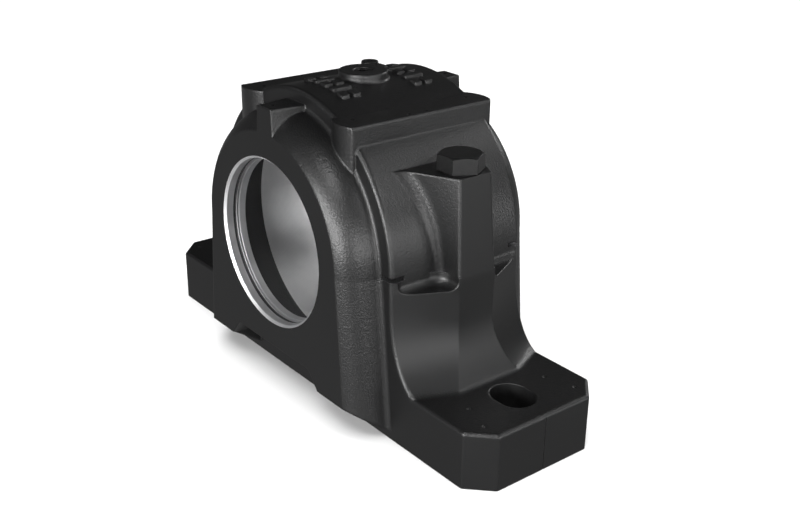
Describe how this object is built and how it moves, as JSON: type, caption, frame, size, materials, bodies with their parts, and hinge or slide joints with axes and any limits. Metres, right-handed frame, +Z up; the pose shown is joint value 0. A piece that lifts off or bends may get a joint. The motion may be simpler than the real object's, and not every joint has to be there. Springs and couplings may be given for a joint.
{
  "type": "split plummer block housing",
  "caption": "Cast iron split bearing housing on slotted feet, with a bolted cap, flat topped pads and an open shaft bore through both hubs.",
  "frame": {"origin": "centre of the underside of the base, halfway between the two foot slots", "axes": "+X from foot to foot, +Y along the bearing axis, +Z up; front and rear are alike apart from the side plug and the dowel pins"},
  "size_m": [0.38, 0.16, 0.22],
  "materials": {
    "painted_casting": "satin",
    "bolt_steel": "satin",
    "pin_steel": "satin",
    "plug_steel": "satin"
  },
  "bodies": {
    "housing_base": {"base": "painted_casting", "dowel_pin_right": "pin_steel", "dowel_pin_left": "pin_steel"},
    "housing_cap": {"cap": "painted_casting"},
    "bolt_right": {"cap_bolt_right": "bolt_steel"},
    "bolt_left": {"cap_bolt_left": "bolt_steel"},
    "plug_crown": {"crown_plug": "plug_steel"},
    "plug_side": {"side_plug": "plug_steel"}
  },
  "joints": [
    {"name": "cap_lift", "type": "slide", "parent": "housing_base", "child": "housing_cap", "axis": [0, 0, 1], "range_m": [0, 0.12]},
    {"name": "bolt_right_turn", "type": "hinge", "parent": "housing_cap", "child": "bolt_right", "pos_m": [0.1023, 0, 0.176], "axis": [0, 0, 1], "continuous": true},
    {"name": "bolt_left_turn", "type": "hinge", "parent": "housing_cap", "child": "bolt_left", "pos_m": [-0.1023, 0, 0.176], "axis": [0, 0, 1], "continuous": true},
    {"name": "crown_plug_turn", "type": "hinge", "parent": "housing_cap", "child": "plug_crown", "pos_m": [0, 0, 0.219], "axis": [0, 0, 1], "continuous": true},
    {"name": "side_plug_turn", "type": "hinge", "parent": "housing_cap", "child": "plug_side", "pos_m": [-0.03, 0.028, 0.2115], "axis": [0, 0, 1], "continuous": true}
  ]
}
